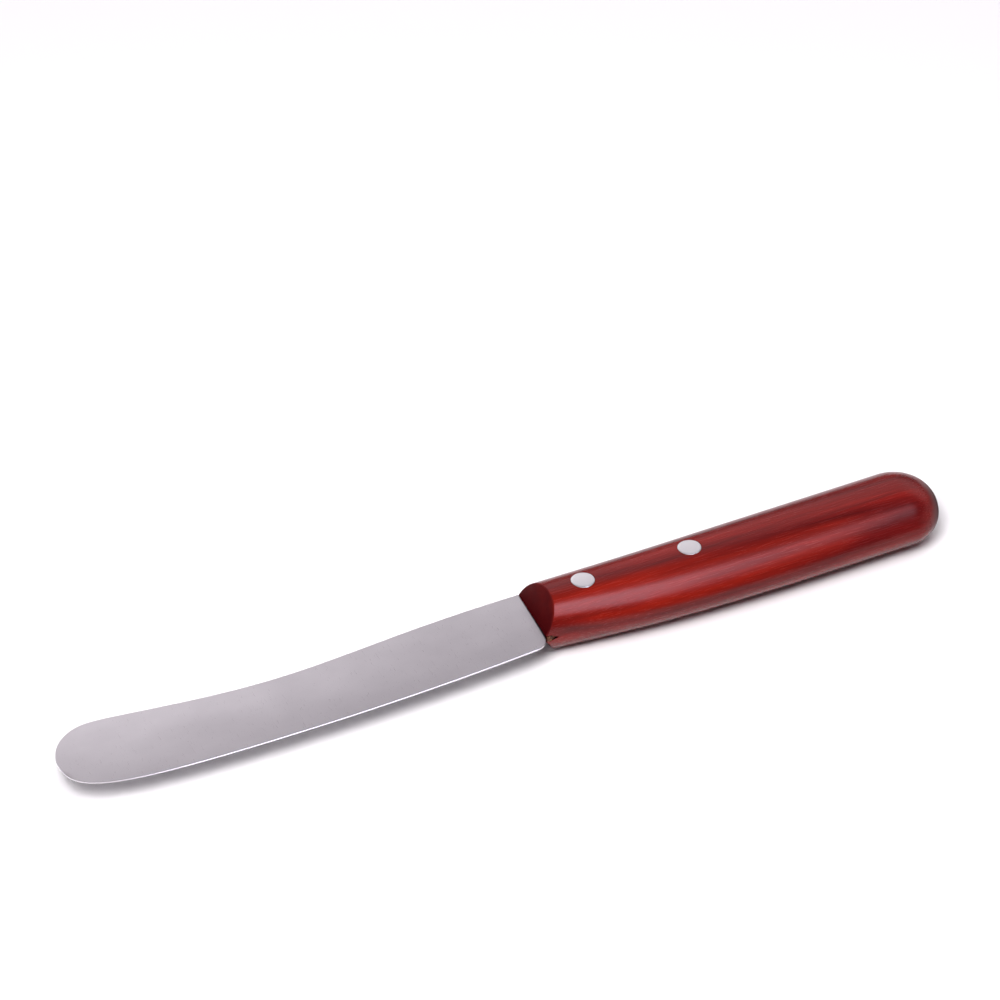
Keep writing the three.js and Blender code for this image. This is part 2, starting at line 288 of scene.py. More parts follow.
def round_end(centre, radius, end):
    """Knots of a round that leaves the slot's straight floor and stops at the angle end."""
    start = SLOT_SLOPE - math.pi / 2
    pull = 4 / 3 * math.tan((end - start) / 4)
    low, high = [Vector((math.cos(turn), math.sin(turn))) * radius for turn in (start, end)]
    low_handle = centre + low + low.orthogonal() * pull
    high_handle = centre + high - high.orthogonal() * pull
    low_knot = (centre + low, centre + low, low_handle)
    high_knot = (high_handle, centre + high, centre + high)
    return [low_knot, high_knot]


print("slot runs out of the belly", SLOT_RUNOUT, "mm behind the front")

# %% Torn walls
HEEL_BACK = 8.6
TORN_LENGTH = 9.0
TORN_CELL = 0.6
TORN_AREA = (-4.0, 7.0)
TEAR = 0.13
TEAR_FINENESS = 1.3
FLAT_ENOUGH = 0.99


def cut_through(bm, sides, point, normal):
    """Cuts the sides with a plane and returns the faces that they have become."""
    edges = dict.fromkeys(edge for face in sides for edge in face.edges)
    verts = dict.fromkeys(vert for face in sides for vert in face.verts)
    cut = bmesh.ops.bisect_plane(bm, geom=[*sides, *edges, *verts], plane_co=point, plane_no=normal)
    return [item for item in cut["geom"] if isinstance(item, bmesh.types.BMFace)]


def torn_walls(bm):
    """Roughens the slot's walls at the handle's front."""
    walls = [face for face in bm.faces if abs(face.normal.z) > FLAT_ENOUGH]
    for number in range(round(TORN_LENGTH / TORN_CELL) + 1):
        x = BLADE_LENGTH + number * TORN_CELL - TORN_LENGTH / 3
        walls = cut_through(bm, walls, (x, 0, 0), (1, 0, 0))
    low, high = [BLADE_LENGTH + end for end in TORN_AREA]
    front = [face for face in walls if low < face.calc_center_median().x < high]
    for number in range(1, round(2 * HEEL_BACK / TORN_CELL)):
        y = number * TORN_CELL - HEEL_BACK
        front = cut_through(bm, front, (0, y, 0), (0, 1, 0))
    patch_end = BLADE_LENGTH + 2 * TORN_LENGTH / 3 - TORN_CELL / 2
    for vert in {v for face in front for v in face.verts if v.co.x < patch_end}:
        vert.co.z += noise.noise(vert.co * TEAR_FINENESS) * TEAR


# %% Saw the slot
SLOT_HALF = 0.8
SAW_POINT = 0.45
ON_FLOOR = 0.01
REACH_PAST = 30.0


def saw_slot():
    """A tool as thick as the saw that reaches past the handle's front and back."""
    start = -REACH_PAST
    bm = filled_outline([
        corner(BLADE_LENGTH + start, slot_floor(start)),
        *round_end(saw_centre, SAW_RADIUS, 0),
        corner(saw_centre.x + SAW_RADIUS, REACH_PAST),
        corner(BLADE_LENGTH + start, REACH_PAST),
    ])
    bmesh.ops.solidify(bm, geom=bm.faces[:], thickness=2 * SLOT_HALF)
    middle_z = sum(v.co.z for v in bm.verts) / len(bm.verts)
    bmesh.ops.translate(bm, verts=bm.verts, vec=(0, 0, -middle_z))
    everything = bm.verts[:] + bm.edges[:] + bm.faces[:]
    bmesh.ops.bisect_plane(bm, geom=everything, plane_co=(0, 0, 0), plane_no=(0, 0, 1))
    for vert in bm.verts:
        floor = slot_floor(vert.co.x - BLADE_LENGTH) + ON_FLOOR
        if abs(vert.co.z) > SLOT_HALF / 2 and vert.co.y < floor:
            vert.co.y += SAW_POINT
    torn_walls(bm)
    return to_mesh(bm)


print("slot is", 2 * SLOT_HALF, "mm wide")

# %% [markdown]
# ## Turned shapes
# Rivets and the holes for them are round about one upright axis. Drawing half the section as a
# chain of edges and spinning it through a full circle is quicker and cleaner than stacking
# cylinders. A hole or slot is then cut with a Boolean, and points that lie as good as together
# are welded.

# %% Turning helper
RIVET_STEPS = 64
WELD = 0.0005


def turned(profile, centre_x):
    """A closed bmesh spun from (radius, height) points about an axis on the rivets' line."""
    bm = bmesh.new()
    chain = [bm.verts.new((centre_x + radius, 0, height)) for radius, height in profile]
    for a, b in zip(chain, chain[1:]):
        bm.edges.new((a, b))
    bmesh.ops.spin(
        bm, geom=bm.verts[:] + bm.edges[:], cent=(centre_x, 0, 0), axis=(0, 0, 1),
        angle=2 * math.pi, steps=RIVET_STEPS, use_merge=True,
    )
    bmesh.ops.remove_doubles(bm, verts=bm.verts, dist=WELD)
    return bm


# %% Holes for the rivets
SLEEVE_RADIUS = 2.0
HEAD_DEPTH = 1.8
HEAD_GAP = 0.07
HOLE_CLEARANCE = 0.06
SHOULDER_CLEARANCE = 0.1
SHOULDER = HANDLE_HALF - HEAD_DEPTH


def rivet_hole(centre_x):
    """A tool for the shank's hole and the wider seats of both heads."""
    head = HEAD_RADIUS + HEAD_GAP
    shank = SLEEVE_RADIUS + HOLE_CLEARANCE
    seat = SHOULDER - SHOULDER_CLEARANCE
    return to_mesh(turned([
        (0, -REACH_PAST), (head, -REACH_PAST), (head, -seat), (shank, -seat),
        (shank, seat), (head, seat), (head, REACH_PAST), (0, REACH_PAST),
    ], centre_x))


print("rivet heads are", round(2 * HEAD_RADIUS, 2), "mm across")


# %% Cutting helper
def cut_away(body_mesh, *tool_meshes):
    """The body after every tool has been cut out of it."""
    body = bpy.data.objects.new("body", body_mesh)
    bpy.context.scene.collection.objects.link(body)
    tools = []
    for tool_mesh in tool_meshes:
        tool = bpy.data.objects.new("tool", tool_mesh)
        bpy.context.scene.collection.objects.link(tool)
        cut = body.modifiers.new("cut", "BOOLEAN")
        cut.operation = "DIFFERENCE"
        cut.solver = "EXACT"
        cut.object = tool
        tools.append(tool)
    now = bpy.context.evaluated_depsgraph_get()
    bm = bmesh.new()
    bm.from_object(body, now)
    bmesh.ops.remove_doubles(bm, verts=bm.verts, dist=WELD)
    for used in (body, *tools):
        bpy.data.objects.remove(used)
    return to_mesh(bm)


# %% [markdown]
# ## Satin steel
# The blade is thinly ground stainless steel with a fine satin finish. Fine grinding leaves tiny
# scratches across the blade, too small to see one by one, which blur and stretch what the steel
# reflects. A noise that is short along the blade and long across it stands for them, and a slow,
# faint noise gives the cloudy unevenness of hand polishing.

# %% Material helpers
def new_material(name):
    """A new material and its shader."""
    material = bpy.data.materials.new(name)
    material.use_nodes = True
    return material, material.node_tree.nodes["Principled BSDF"]


def add_node(material, kind, **values):
    """A node with values for its settings and sockets."""
    made = material.node_tree.nodes.new(kind)
    for key, value in values.items():
        if hasattr(made, key):
            setattr(made, key, value)
        else:
            made.inputs[key].default_value = value
    return made


def link(material, source, output, target, socket):
    material.node_tree.links.new(source.outputs[output], target.inputs[socket])


def pattern_place(material, scale=(1, 1, 1), turn=(0, 0, 0), shift=(0, 0, 0)):
    """Object coordinates in millimetres, turned and stretched for a pattern."""
    place = add_node(material, "ShaderNodeTexCoord")
    mapping = add_node(material, "ShaderNodeMapping")
    mapping.inputs["Scale"].default_value = [s / MM for s in scale]
    mapping.inputs["Rotation"].default_value = turn
    mapping.inputs["Location"].default_value = shift
    link(material, place, "Object", mapping, "Vector")
    return mapping


def noise_on(material, scale, detail, distortion=0.0):
    """Noise with so many waves to the millimetre in each direction."""
    place = pattern_place(material, scale)
    pattern = add_node(
        material, "ShaderNodeTexNoise", Scale=1.0, Detail=detail, Distortion=distortion
    )
    link(material, place, "Vector", pattern, "Vector")
    return pattern


def colour_ramp(material, source, output, stops):
    """A colour ramp through (position, colour) stops, driven by one of a node's outputs."""
    ramp = add_node(material, "ShaderNodeValToRGB")
    elements = ramp.color_ramp.elements
    for element, (position, colour) in zip(elements, (stops[0], stops[-1])):
        element.position = position
        element.color = (*colour, 1)
    for position, colour in stops[1:-1]:
        elements.new(position).color = (*colour, 1)
    link(material, source, output, ramp, "Fac")
    return ramp


def remapped(material, source, output, target, reach=(0, 1)):
    """A node that carries an output from its reach to a target range."""
    node = add_node(material, "ShaderNodeMapRange")
    sockets = ("From Min", "From Max", "To Min", "To Max")
    for socket, value in zip(sockets, (*reach, *target)):
        node.inputs[socket].default_value = value
    link(material, source, output, node, "Value")
    return node


# %% Satin steel finish
STEEL_CLOUD = (0.06, 0.09, 0.09)
STEEL_TONES = ((0.3, (0.62, 0.605, 0.625)), (0.7, (0.7, 0.685, 0.705)))
STEEL_GRIND = (14, 0.35, 0.35)
STEEL_ROUGHNESS = (0.26, 0.31)
SCRATCH_STRENGTH = 0.008
SCRATCH_DEPTH = 0.00002


def satin_steel():
    material, shader = new_material("satin_steel")
    shader.inputs["Metallic"].default_value = 1
    cloud = noise_on(material, STEEL_CLOUD, detail=3.0)
    tone = colour_ramp(material, cloud, "Fac", STEEL_TONES)
    link(material, tone, "Color", shader, "Base Color")
    grind = noise_on(material, STEEL_GRIND, detail=2.0)
    dullness = remapped(material, grind, "Fac", STEEL_ROUGHNESS)
    link(material, dullness, "Result", shader, "Roughness")
    scratches = add_node(
        material, "ShaderNodeBump", Strength=SCRATCH_STRENGTH, Distance=SCRATCH_DEPTH
    )
    link(material, grind, "Fac", scratches, "Height")
    link(material, scratches, "Normal", shader, "Normal")
    return material


steel_finish = satin_steel()
print("made", steel_finish.name)

# %% [markdown]
# ## The blade
# The blade and its tang are one stamped and ground plate. Its outline is drawn with curves,
# thickened to a plate, and then inset twice on both sides: the outer band becomes the broken
# corner of the back, and both bands together the sharpened strip of the edge. Moving each ring of
# points to its own thickness grinds the taper from heel to tip and from back to edge.

# %% Tang outline
HEEL_EDGE = 10.65
HEEL_RADIUS = 4.0
FLOOR_CLEARANCE = 0.9
END_CLEARANCE = 0.3
TANG_FLUSH = 0.15
TANG_TRIES = 8
TANG_BACK_SHARES = (0.75, 0.5, 0.25)


def tang_back(x):
    """The tang's back, a little below the wood's."""
    return back_line(x - BLADE_LENGTH) - TANG_FLUSH


def tang_knots():
    """Knots along the slot's floor and round, and back along the wood."""
    lift = FLOOR_CLEARANCE / math.cos(SLOT_SLOPE)
    low_front = max(slot_floor(0) + lift, HEEL_RADIUS - HEEL_EDGE)
    radius = SAW_RADIUS - FLOOR_CLEARANCE
    centre = saw_centre + Vector((FLOOR_CLEARANCE - END_CLEARANCE, 0))
    end = 0
    for _ in range(TANG_TRIES):
        rear_x = centre.x + radius * math.cos(end)
        end = math.asin((tang_back(rear_x) - centre.y) / radius)
    back_xs = [BLADE_LENGTH + (rear_x - BLADE_LENGTH) * share for share in TANG_BACK_SHARES]
    return [
        corner(front_line(low_front), low_front),
        *round_end(centre, radius, end),
        *[corner(x, tang_back(x)) for x in back_xs],
    ]


print("tang is drawn with", len(tang_knots()), "knots")

# %% Blade outline
TIP_DROP = 1.0
CREST = Vector((11.5, 10.1))
WAIST = Vector((56.0, 5.75))
BELLY = Vector((53.0, -13.25))
CREST_EASE = 0.15
WAIST_EASE = 0.42
WAIST_HEEL_EASE = 0.3
HEEL_EASE = 0.5
EDGE_EASE = 0.82
EDGE_PULL = 2 / 3
ROUND_HANDLE = 4 / 3 * (math.sqrt(2) - 1)


def lengthways(reach):
    return Vector((reach, 0))


def crossways(reach):
    return Vector((0, reach))


def blade_knots():
    """Knots along the back to the tip, along the edge to the heel, and round the tang."""
    heel_x = front_line(HEEL_RADIUS - HEEL_EDGE)
    heel_run = heel_x - HEEL_RADIUS
    back_run = BLADE_LENGTH - WAIST.x
    tip_run = WAIST.x - CREST.x
    tip_height = CREST.y + TIP_DROP
    heel = Vector((BLADE_LENGTH, HEEL_BACK))
    tip = Vector((0, -TIP_DROP))
    edge_end = Vector((heel_run, -HEEL_EDGE))
    edge_control = Vector(((BELLY.x + heel_run) / 2, BELLY.y))
    heel_top = Vector((heel_x, HEEL_RADIUS - HEEL_EDGE))
    round_pull = ROUND_HANDLE * HEEL_RADIUS
    waist_heel = WAIST + lengthways(WAIST_HEEL_EASE * back_run)
    crest_tip = CREST - lengthways(ROUND_HANDLE * CREST.x)
    edge_start = tip + crossways(EDGE_EASE * (BELLY.y - tip.y))
    return [
        (heel, heel, heel - lengthways(HEEL_EASE * back_run)),
        (waist_heel, WAIST, WAIST - lengthways(WAIST_EASE * tip_run)),
        (CREST + lengthways(CREST_EASE * tip_run), CREST, crest_tip),
        (tip + crossways(ROUND_HANDLE * tip_height), tip, edge_start),
        (BELLY - lengthways(EDGE_EASE * BELLY.x), BELLY, BELLY.lerp(edge_control, EDGE_PULL)),
        (edge_end.lerp(edge_control, EDGE_PULL), edge_end, edge_end + lengthways(round_pull)),
        (heel_top - crossways(round_pull), heel_top, heel_top),
        *tang_knots(),
    ]


print("blade is drawn with", len(blade_knots()), "knots")

# %% Grind the blade
HEEL_THICKNESS = 1.3
TIP_THICKNESS = 0.8
EDGE_THINNING = 0.78
EDGE_BEVEL = 0.075
EDGE_RISE = 0.043
BACK_CHAMFER = 0.035


def smooth_step(value, start, end):
    """0 before the start and 1 after the end, with a soft rise between them."""
    t = min(max((value - start) / (end - start), 0), 1)
    return t * t * (3 - 2 * t)


def plate_half(x, y):
    """Half the plate's thickness, which falls from heel to tip and from back to edge."""
    along = TIP_THICKNESS + (HEEL_THICKNESS - TIP_THICKNESS) * x / BLADE_LENGTH
    across = 1 - EDGE_THINNING * (HEEL_BACK - y) / (HEEL_BACK - BELLY.y)
    return along * across / 2


def sharpness(x, y):
    """1 along the cutting edge, fading to 0 round the tip and at the heel's corner."""
    towards_edge = 1 - smooth_step(y, -HEEL_EDGE, -TIP_DROP)
    before_heel = 1 - smooth_step(x, BLADE_LENGTH - HEEL_RADIUS, BLADE_LENGTH)
    return towards_edge * before_heel


def ground_blade():
    """The plate with a bevelled edge and a broken corner round its back."""
    bm = filled_outline(blade_knots())
    bmesh.ops.solidify(bm, geom=bm.faces[:], thickness=1)
    sides = sorted(bm.faces, key=lambda face: -len(face.verts))[:2]
    ring = {}
    for number, width in enumerate((BACK_CHAMFER, EDGE_BEVEL - BACK_CHAMFER)):
        bmesh.ops.inset_region(
            bm, faces=sides, thickness=width, use_even_offset=True, use_boundary=True
        )
        inner = {vert for face in sides for vert in face.verts}
        ring.update({vert: number for vert in bm.verts if vert not in inner and vert not in ring})
    ring.update({vert: 2 for vert in inner})
    middle_z = sum(vert.co.z for vert in bm.verts) / len(bm.verts)
    for vert, number in ring.items():
        x, y, z = vert.co
        full = plate_half(x, y)
        sharp = sharpness(x, y)
        bevel_share = (0, BACK_CHAMFER / EDGE_BEVEL, 1)[number]
        ground = full - EDGE_RISE * (1 - bevel_share)
        broken = full - BACK_CHAMFER if number == 0 else full
        half = broken + (ground - broken) * sharp
        vert.co.z = half if z > middle_z else -half
    return to_mesh(bm)


blade_plate = cut_away(ground_blade(), rivet_hole(FRONT_RIVET_X), rivet_hole(REAR_RIVET_X))
print("plate has", len(blade_plate.polygons), "faces")

# %% [markdown]
# ## The blade's crowned sides
# Grinding leaves each side of a blade very slightly round from back to edge, and that is what
# shades the steel. The flat sides have no points of their own, so they are cut along and across
# first. Two fair lines along the cuts' ends say how broad the blade is at any point, and each
# point is raised like a slice of a very large wheel of that breadth. The crown fades out inside
# the slot.

# %% Crown the sides
GROUND_CORNER = math.radians(10)
WHEEL_RADIUS = 420.0
CUTS_ALONG = 10
CUTS_ACROSS = 60
CROWN_END = 125.0
SAME_STATION = 0.001


def crowned(plate):
    """The plate with its sides raised like slices of a wheel."""
    bm = bmesh.new()
    bm.from_mesh(plate)
    sides = [face for face in bm.faces if abs(face.normal.z) > math.cos(GROUND_CORNER)]
    for number in range(1, CUTS_ALONG):
        y = BELLY.y + (CREST.y - BELLY.y) * number / CUTS_ALONG
        sides = cut_through(bm, sides, (0, y, 0), (0, 1, 0))
    stations = [CROWN_END * number / CUTS_ACROSS for number in range(1, CUTS_ACROSS)]
    for x in stations:
        sides = cut_through(bm, sides, (x, 0, 0), (1, 0, 0))
    verts = {vert for face in sides for vert in face.verts}
    rows = [[vert.co.y for vert in verts if abs(vert.co.x - x) < SAME_STATION] for x in stations]
    low_line = fair_line([0, *stations], [-TIP_DROP, *map(min, rows)])
    high_line = fair_line([0, *stations], [-TIP_DROP, *map(max, rows)])
    for vert in verts:
        x, y, z = vert.co
        fade = 1 - smooth_step(x, BLADE_LENGTH, CROWN_END)
        rise = max((high_line(x) - y) * (y - low_line(x)), 0) / (2 * WHEEL_RADIUS)
        vert.co.z += math.copysign(rise * fade, z)
    return to_mesh(bm)


lay_on_knife(
    "blade_steel", crowned(blade_plate), "blade", steel_finish, GROUND_CORNER
)

# %% [markdown]
# ## Oiled plum wood
# The handle is a dense, reddish-brown fruit wood, oiled to a low sheen. Its colour changes from
# dark brown to orange red in growth layers, with finer streaks and fibres that run with the
# handle. Wood is a solid pattern, so it is built from Object coordinates: the distance from a
# pith line, deep under the handle and leaning a little, picks a layer's colour, so the layers
# come out of the round side as long pointed flames. A stretched noise bends the layers, and finer
# ones draw streaks and fibres. Sawn ends drink more oil and look darker, and their colour is
# painted darker still, as painted shade. An attribute on the mesh says where the wood is cut
# across, and where the slot's walls and floor get the same dark colour as painted shade.

# %% Growth layers
PITH_TURN = (0, 0.026, 0.018)
PITH_SHIFT = (0, -27.2, 29.9)
PITH_DEPTH = 45.0
LAYER_REACH = 12.0
LAYER_DRIFT = (0.025, 0.14, 0.14)
LAYER_BEND = (0, 3, 3)
ACROSS_GRAIN = (0, 1, 1)
BROWN = (0.095, 0.0035, 0.0035)
DULL_RED = (0.125, 0.0045, 0.0038)
RED = (0.15, 0.0053, 0.004)
BRIGHT_RED = (0.175, 0.0062, 0.0038)
ORANGE = (0.19, 0.0075, 0.0028)
LAYERS = (
    (-12.0, RED), (-9.5, BROWN), (-7.0, RED), (-4.5, ORANGE), (-2.0, DULL_RED),
    (0.0, RED), (2.0, DULL_RED), (3.2, RED), (4.2, BRIGHT_RED), (5.2, RED),
    (6.2, BROWN), (7.4, ORANGE), (8.6, RED), (9.6, DULL_RED), (12.0, BROWN),
)


def growth_layers(material):
    """Colours that change with the distance from the pith."""
    drift = noise_on(material, LAYER_DRIFT, detail=2.0)
    bend = add_node(material, "ShaderNodeVectorMath", operation="MULTIPLY_ADD")
    bend.inputs[1].default_value = LAYER_BEND
    pith = pattern_place(material, turn=PITH_TURN, shift=PITH_SHIFT)
    link(material, drift, "Color", bend, 0)
    link(material, pith, "Vector", bend, 2)
    across = add_node(material, "ShaderNodeVectorMath", operation="MULTIPLY")
    across.inputs[1].default_value = ACROSS_GRAIN
    link(material, bend, "Vector", across, 0)
    distance = add_node(material, "ShaderNodeVectorMath", operation="LENGTH")
    link(material, across, "Vector", distance, 0)
    reach = (PITH_DEPTH - LAYER_REACH, PITH_DEPTH + LAYER_REACH)
    layer = remapped(material, distance, "Value", (0, 1), reach)
    stops = [((depth + LAYER_REACH) / (2 * LAYER_REACH), colour) for depth, colour in LAYERS]
    return colour_ramp(material, layer, "Result", stops)


print("wood has", len(LAYERS), "growth layers")

# %% Oiled wood finish
STREAKS = (0.022, 0.55, 0.55)
STREAK_CURL = 0.5
STREAK_TONES = ((0.3, (0.7, 0.66, 0.7)), (0.5, (0.97, 0.97, 0.97)), (0.7, (1.2, 1.24, 1.16)))
FIBRES = (0.22, 5, 5)
FIBRE_TONES = ((0.3, (0.86, 0.84, 0.84)), (0.7, (1.1, 1.1, 1.1)))
FIBRE_RELIEF = 0.18
FIBRE_HEIGHT = 0.00003
# End grain's own darker colour, painted darker still as shade; the slot's walls and floor get it as
# painted shade.
END_GRAIN_AND_SHADE = (0.036, 0.0013, 0.0021)
WOOD_ROUGHNESS = (0.16, 0.35)
WOOD_GLOSS = 0.27
END_ROUGHNESS = 0.25
MIX_FIRST, MIX_SECOND, MIX_RESULT = 6, 7, 2


def multiplied(material, first, second):
    """The product of two colour outputs, on the Mix node's sockets for colours."""
    mix = add_node(material, "ShaderNodeMix", data_type="RGBA", blend_type="MULTIPLY")
    mix.inputs["Factor"].default_value = 1
    material.node_tree.links.new(first, mix.inputs[MIX_FIRST])
    material.node_tree.links.new(second, mix.inputs[MIX_SECOND])
    return mix.outputs[MIX_RESULT]


def figured_wood(material, fibres):
    """The layers' colours, with streaks and fibres over them."""
    streaks = noise_on(material, STREAKS, detail=5.0, distortion=STREAK_CURL)
    colour = growth_layers(material).outputs["Color"]
    for pattern, tones in ((streaks, STREAK_TONES), (fibres, FIBRE_TONES)):
        tone = colour_ramp(material, pattern, "Fac", tones)
        colour = multiplied(material, colour, tone.outputs["Color"])
    return colour


def oiled_wood():
    material, shader = new_material("oiled_wood")
    fibres = noise_on(material, FIBRES, detail=3.0)
    # The attribute marks end grain, whose dark colour is partly painted shade, and the slot, which
    # gets painted shade.
    ends_and_slot_shade = add_node(material, "ShaderNodeAttribute", attribute_name="end_grain_and_slot_shade")
    end_grain_and_shade_mix = add_node(material, "ShaderNodeMix", data_type="RGBA")
    end_grain_and_shade_mix.inputs[MIX_SECOND].default_value = (*END_GRAIN_AND_SHADE, 1)
    link(material, ends_and_slot_shade, "Fac", end_grain_and_shade_mix, 0)
    material.node_tree.links.new(figured_wood(material, fibres), end_grain_and_shade_mix.inputs[MIX_FIRST])
    link(material, end_grain_and_shade_mix, MIX_RESULT, shader, "Base Color")
    gloss = remapped(material, ends_and_slot_shade, "Fac", (WOOD_GLOSS, 0))
    link(material, gloss, "Result", shader, "Specular IOR Level")
    dullness = remapped(material, fibres, "Fac", WOOD_ROUGHNESS)
    dull_ends = add_node(material, "ShaderNodeMath", operation="MULTIPLY_ADD")
    dull_ends.inputs[1].default_value = END_ROUGHNESS
    link(material, ends_and_slot_shade, "Fac", dull_ends, 0)
    link(material, dullness, "Result", dull_ends, 2)
    link(material, dull_ends, "Value", shader, "Roughness")
    relief = add_node(material, "ShaderNodeBump", Strength=FIBRE_RELIEF, Distance=FIBRE_HEIGHT)
    link(material, fibres, "Fac", relief, "Height")
    link(material, relief, "Normal", shader, "Normal")
    return material


wood_finish = oiled_wood()
print("made", wood_finish.name)

# %% [markdown]
# ## The handle
# A handle like this is shaped from a turned or milled blank, sawn to a blunt wedge at the front,
# slotted and drilled. The model follows the same order: a unit profile is spun about the handle's
# axis, each ring is drawn out to the oval section of its station, the front rings lean back to
# the wedge, and the slot and holes are cut with Boolean tools. The cuts leave faces with many
# sides and some slivers, so the finished wood is split into well-shaped triangles and cleaned.

# %% Shape the handle
FRONT_LEAN = math.tan(math.radians(31))
FRONT_FADE = 24.0
DOME_RISE = 0.6
SECTION_STEPS = 96
WALL_STEPS = 110
DOME_STEPS = 28
LIP = 0.25


def turned_blank():
    """A unit-radius blank along x: a softened lip, a straight wall and a quarter-round end."""
    bm = bmesh.new()
    lip = bm.verts.new((0, 0, 1 - LIP / HANDLE_HALF))
    front = bm.verts.new((LIP, 0, 1))
    end = bm.verts.new((DOME_START, 0, 1))
    bm.edges.new((lip, front))
    bm.edges.new((front, end))
    bmesh.ops.spin(
        bm, geom=[end], cent=(DOME_START, 0, 0), axis=(0, 1, 0),
        angle=math.pi / 2, steps=DOME_STEPS,
    )
    wall = max(bm.edges, key=lambda edge: edge.calc_length())
    bmesh.ops.subdivide_edges(bm, edges=[wall], cuts=WALL_STEPS)
    bmesh.ops.spin(
        bm, geom=bm.verts[:] + bm.edges[:], cent=(0, 0, 0), axis=(1, 0, 0),
        angle=2 * math.pi, steps=SECTION_STEPS, use_merge=True,
    )
    bmesh.ops.remove_doubles(bm, verts=bm.verts, dist=WELD)
    return bm


def front_offset(y, z):
    """How far the sawn front lies behind its point on the rivets' line beside the slot."""
    return y * FRONT_SLANT + (abs(z) - SLOT_HALF) * FRONT_LEAN


def shaped_handle():
    """The blank drawn out to the handle's sections, with the front leaning back and closed."""
    bm = turned_blank()
    for vert in bm.verts:
        x, y, z = vert.co
        ring = math.hypot(y, z)
        turn = math.atan2(z, y)
        station = min(x, DOME_START)
        if x < FRONT_FADE:
            fade = 1 - smooth_step(x, 0, FRONT_FADE)
            side, up = wood_section(station, turn)
            x += fade * front_offset(side * ring, up * ring)
            station = max(x, 0)
        else:
            x = station + (x - station) * DOME_LENGTH
        side, up = wood_section(station, turn)
        vert.co = (BLADE_LENGTH + x, DOME_RISE + (side - DOME_RISE) * ring, up * ring)
        # Only the dome is drawn in towards its own rise, not the lip.
        if ring > 1 - 2 * LIP / HANDLE_HALF and x < DOME_START:
            vert.co.y = side * ring
    rim = [edge for edge in bm.edges if edge.is_boundary]
    bmesh.ops.contextual_create(bm, geom=rim)
    rim_verts = {vert for edge in rim for vert in edge.verts}
    apex = sorted(rim_verts, key=lambda vert: abs(vert.co.z))[:2]
    bmesh.ops.connect_verts(bm, verts=apex)
    return to_mesh(bm)


# %% Cut and clean the handle
def in_triangles(mesh):
    """The mesh in well-shaped triangles, with every edge between two of them."""
    bm = bmesh.new()
    bm.from_mesh(mesh)
    bmesh.ops.triangulate(bm, faces=bm.faces[:], quad_method="BEAUTY", ngon_method="BEAUTY")
    bmesh.ops.collapse(bm, edges=[edge for edge in bm.edges if len(edge.link_faces) > 2])
    bmesh.ops.delete(bm, geom=[edge for edge in bm.edges if edge.is_wire], context="EDGES")
    bmesh.ops.dissolve_degenerate(bm, edges=bm.edges[:], dist=WELD)
    return to_mesh(bm)


handle_mesh = cut_away(
    shaped_handle(), saw_slot(), rivet_hole(FRONT_RIVET_X), rivet_hole(REAR_RIVET_X)
)
wood_handle = lay_on_knife(
    "wood_handle", in_triangles(handle_mesh), "handle", wood_finish
)

# %% [markdown]
# ## Where the wood is cut across, and the slot's painted shade
# On the sawn front and the round butt the surface cuts through the fibres. How far it faces along
# the handle tells how much end grain shows, and a mesh attribute on the face corners carries that
# to the finish, whose dark colour there is partly painted shade. The slot's walls and floor get
# the same mark, as painted shade in the slot.

# %% Mark the end grain and the slot's painted shade
END_GRAIN_STARTS = 0.35
END_GRAIN_FULL = 0.9
WALL_FACES_UP = 0.8
FLOOR_FACES_BACK = 0.3
BELOW_BACK = 1.0


def in_slot_shade(face):
    """True for the slot's walls and its floor, which get painted shade."""
    place = to_bench @ face.center
    in_width = abs(place.z) < SLOT_HALF
    wall = abs(face.normal.z) > WALL_FACES_UP and abs(place.z) < SLOT_HALF + TEAR
    floor = face.normal.y > FLOOR_FACES_BACK and in_width and place.y < HEEL_BACK - BELOW_BACK
    return wall or floor


def mark_end_grain_and_slot_shade(mesh):
    """Writes the marks for end grain and the slot's painted shade, and counts the face corners that
    are mostly marked.
    """
    marks = mesh.attributes.new("end_grain_and_slot_shade", "FLOAT", "CORNER")
    for mark, normal in zip(marks.data, mesh.corner_normals):
        mark.value = smooth_step(abs(normal.vector.x), END_GRAIN_STARTS, END_GRAIN_FULL)
    # Painted shade: the slot's walls and floor get the full dark end-grain mark.
    for face in filter(in_slot_shade, mesh.polygons):
        for corner_number in face.loop_indices:
            marks.data[corner_number].value = 1
    return sum(mark.value > 0.5 for mark in marks.data)


# The count includes the slot's painted shade as well as the end grain.
print("end grain on", mark_end_grain_and_slot_shade(wood_handle.data), "face corners")

# %% [markdown]
# ## Rivets
# Each rivet is two pieces: a sleeve from above and a pin from below, both with a flat head that
# was sanded down with the wood. Metal wears more slowly than wood, so the heads are rounded only
# a third as much and stand a hair proud, with a worn corner that catches the light. Both are
# turned shapes, and their top points are then lowered towards the wood's skin.

# %% Ground aluminium finish
RIVET_GRIND = (0.5, 9, 9)
RIVET_TONES = ((0, (0.9, 0.895, 0.905)), (1, (0.97, 0.965, 0.975)))
RIVET_ROUGHNESS = 0.32


def ground_aluminium():
    material, shader = new_material("ground_aluminium")
    shader.inputs["Metallic"].default_value = 1
    shader.inputs["Roughness"].default_value = RIVET_ROUGHNESS
    grind = noise_on(material, RIVET_GRIND, detail=3.0)
    tone = colour_ramp(material, grind, "Fac", RIVET_TONES)
    link(material, tone, "Color", shader, "Base Color")
    return material


rivet_finish = ground_aluminium()
print("made", rivet_finish.name)

# %% Rivet halves
PIN_RADIUS = 1.3
PIN_CLEARANCE = 0.05
BORE_RADIUS = PIN_RADIUS + PIN_CLEARANCE
HEAD_CORNER = 0.12
HEAD_RINGS = 5
CORNER_STEPS = 4
FOLLOW_WOOD = 0.3


